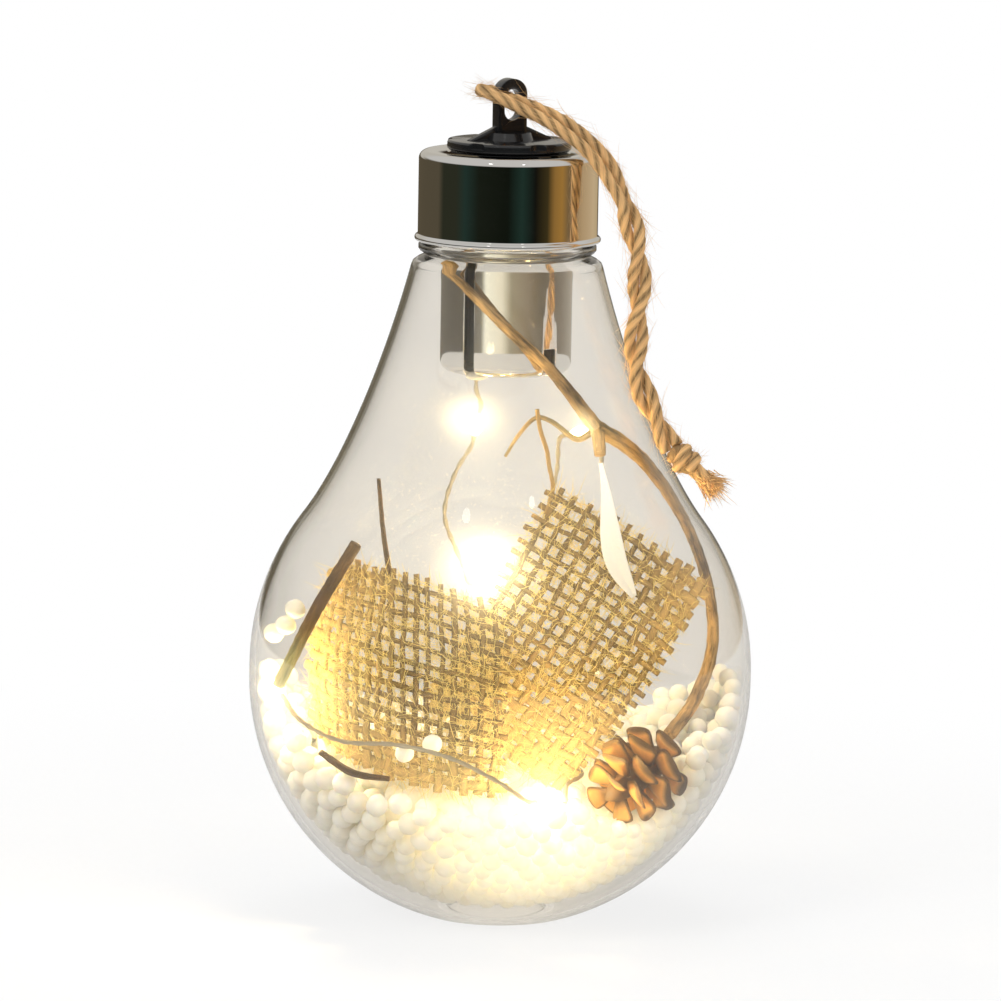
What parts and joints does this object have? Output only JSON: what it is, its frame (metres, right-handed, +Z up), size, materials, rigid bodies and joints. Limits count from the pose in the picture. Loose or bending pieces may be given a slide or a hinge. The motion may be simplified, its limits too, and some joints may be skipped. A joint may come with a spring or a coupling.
{
  "type": "led christmas ball light",
  "caption": "Clear light-bulb-shaped hanging ball with a chromed battery cap, twist switch, wire lights and a winter filling of foam beads, burlap, twigs and a cone.",
  "frame": {"origin": "middle of the flat foot ring on which the ball stands", "axes": "+Z up along the bulb's axis through the cap and the eyelet, -Y towards the pictured side"},
  "size_m": [0.08, 0.08, 0.1342],
  "materials": {
    "clear_plastic": "clear, polished",
    "chrome_plate": "mirror-bright plating",
    "dark_plastic": "satin moulded",
    "black_plastic": "glossy moulded",
    "brass": "bright stamped",
    "steel": "plated steel",
    "hot_glue": "milky, smooth",
    "light_wire": "fine lacquered twin wire",
    "led_resin": "clear resin drop, lit warm",
    "foam": "white expanded foam",
    "burlap": "open plain weave, undyed",
    "bark": "dry bark",
    "pale_leaf": "dry, translucent",
    "cone": "dry, dark scale edges",
    "jute": "twisted jute, hairy"
  },
  "bodies": {
    "bulb": {"bulb_shell": "clear_plastic", "cap_skirt": "chrome_plate", "battery_tube": "chrome_plate", "cell_carrier": "dark_plastic", "contact_plate": "brass", "contact_strip": "brass", "contact_spring": "steel", "glue_drop": "hot_glue", "fairy_wire_1": "light_wire", "fairy_wire_2": "light_wire", "fairy_wire_3": "light_wire", "fairy_wire_4": "light_wire", "fairy_wire_5": "light_wire", "led_1": "led_resin", "led_2": "led_resin", "led_3": "led_resin", "led_4": "led_resin", "led_5": "led_resin", "foam_beads": "foam", "loose_bead_1": "foam", "loose_bead_2": "foam", "loose_bead_3": "foam", "loose_bead_4": "foam", "loose_bead_5": "foam", "burlap_left": "burlap", "burlap_right": "burlap", "main_twig": "bark", "left_stick": "bark", "thin_twig": "bark", "front_twig": "bark", "pale_leaf": "pale_leaf", "pine_cone": "cone"},
    "battery_cover": {"cover_plug": "dark_plastic"},
    "switch": {"switch_knob": "black_plastic", "switch_contact": "brass", "hanging_cord": "jute", "cord_knot": "jute"},
    "cell_stack": {"button_cell_1": "steel", "button_cell_2": "steel", "button_cell_3": "steel"}
  },
  "joints": [
    {"name": "cover_lift", "type": "slide", "parent": "bulb", "child": "battery_cover", "axis": [0, 0, 1], "range_m": [0, 0.012]},
    {"name": "switch_turn", "type": "hinge", "parent": "battery_cover", "child": "switch", "pos_m": [0, 0, 0.123], "axis": [0, 0, 1], "range_deg": [0, 45]},
    {"name": "cell_rise", "type": "slide", "parent": "bulb", "child": "cell_stack", "axis": [0, 0, 1], "range_m": [0, 0.002], "deforming": ["contact_spring"]}
  ],
  "couplings": [
    {"joint": "cell_rise", "follows": "cover_lift", "ratio": 0.166}
  ]
}
